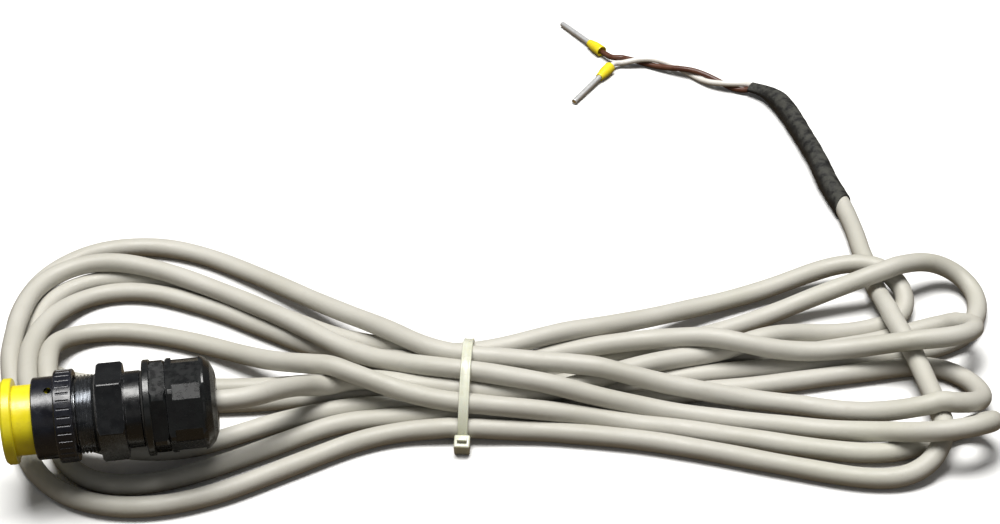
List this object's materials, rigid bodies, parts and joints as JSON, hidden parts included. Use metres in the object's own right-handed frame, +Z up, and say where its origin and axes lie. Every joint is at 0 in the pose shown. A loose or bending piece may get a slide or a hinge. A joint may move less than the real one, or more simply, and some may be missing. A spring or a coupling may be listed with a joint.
{
  "type": "proximity sensor connecting lead",
  "caption": "Bayonet plug with dust cap and cable gland on a screened two-core lead, folded in a tied hank, with a sleeved end and two crimped ferrules.",
  "frame": {"origin": "centre of the plug's mating face, on the plug's axis; the lead lies on a surface 25.5 mm below it", "axes": "+X along the plug's axis, from the mating face towards the cable gland; +Z up"},
  "size_m": [0.308, 0.2661, 0.039],
  "materials": {
    "cap_yellow": "moulded polyethylene, slight gloss",
    "ring_black": "black anodised, satin",
    "spring_steel": "plain",
    "seal_rubber": "matte",
    "shell_black": "black plated, bright on the thread crests",
    "insert_resin": "moulded",
    "contact_gold": "gold plated",
    "grommet_rubber": "matte",
    "plain_aluminium": "turned",
    "adapter_black": "black anodised, semi-gloss",
    "gland_plastic": "moulded polyamide, slight gloss",
    "slip_nylon": "natural",
    "white_insulation": "extruded",
    "brown_insulation": "extruded",
    "braid_copper": "tinned braid",
    "cable_jacket": "extruded, soft sheen",
    "tie_nylon": "natural nylon, slightly translucent",
    "sleeve_black": "shrunk polyolefin",
    "ferrule_tin": "tin plated, crimped",
    "collar_yellow": "moulded polypropylene"
  },
  "bodies": {
    "root": {"interface_seal": "seal_rubber", "plug_shell": "shell_black", "front_insulator": "insert_resin", "contacts": "contact_gold", "rear_insulator": "insert_resin", "grommet": "grommet_rubber", "grommet_follower": "plain_aluminium", "adapter_seal": "seal_rubber", "backshell_adapter": "adapter_black", "gland_gasket": "seal_rubber", "gland_body": "gland_plastic", "gland_seal": "seal_rubber", "gland_claw": "gland_plastic", "white_core": "white_insulation", "brown_core": "brown_insulation", "shield_braid": "braid_copper", "cable_in_gland": "cable_jacket", "gland_lead": "cable_jacket", "cable_hank_left": "cable_jacket", "cable_hank_waist": "cable_jacket", "cable_hank_right": "cable_jacket", "cable_tail": "cable_jacket", "tie_strap": "tie_nylon", "tie_head": "tie_nylon", "heat_shrink_sleeve": "sleeve_black", "white_wire": "white_insulation", "brown_wire": "brown_insulation", "white_ferrule_tube": "ferrule_tin", "brown_ferrule_tube": "ferrule_tin", "white_ferrule_collar": "collar_yellow", "brown_ferrule_collar": "collar_yellow"},
    "dust_cap": {"dust_cap": "cap_yellow"},
    "coupling_ring": {"coupling_ring": "ring_black", "retaining_ring": "spring_steel", "wave_spring": "spring_steel"},
    "gland_follower": {"gland_slip_ring": "slip_nylon"},
    "gland_nut": {"gland_nut": "gland_plastic"}
  },
  "joints": [
    {"name": "dust_cap_pull", "type": "slide", "parent": "root", "child": "dust_cap", "axis": [-1, 0, 0], "range_m": [0, 0.012]},
    {"name": "coupling_ring_turn", "type": "hinge", "parent": "root", "child": "coupling_ring", "pos_m": [0.006, 0, 0], "axis": [1, 0, 0], "range_deg": [-120, 0]},
    {"name": "gland_nut_travel", "type": "slide", "parent": "root", "child": "gland_follower", "axis": [1, 0, 0], "range_m": [0, 0.003]},
    {"name": "gland_nut_turn", "type": "hinge", "parent": "gland_follower", "child": "gland_nut", "pos_m": [0.0434, 0, 0], "axis": [1, 0, 0], "range_deg": [0, 720]}
  ],
  "couplings": [
    {"joint": "gland_nut_travel", "follows": "gland_nut_turn", "m_per_rad": 0.00023873}
  ]
}
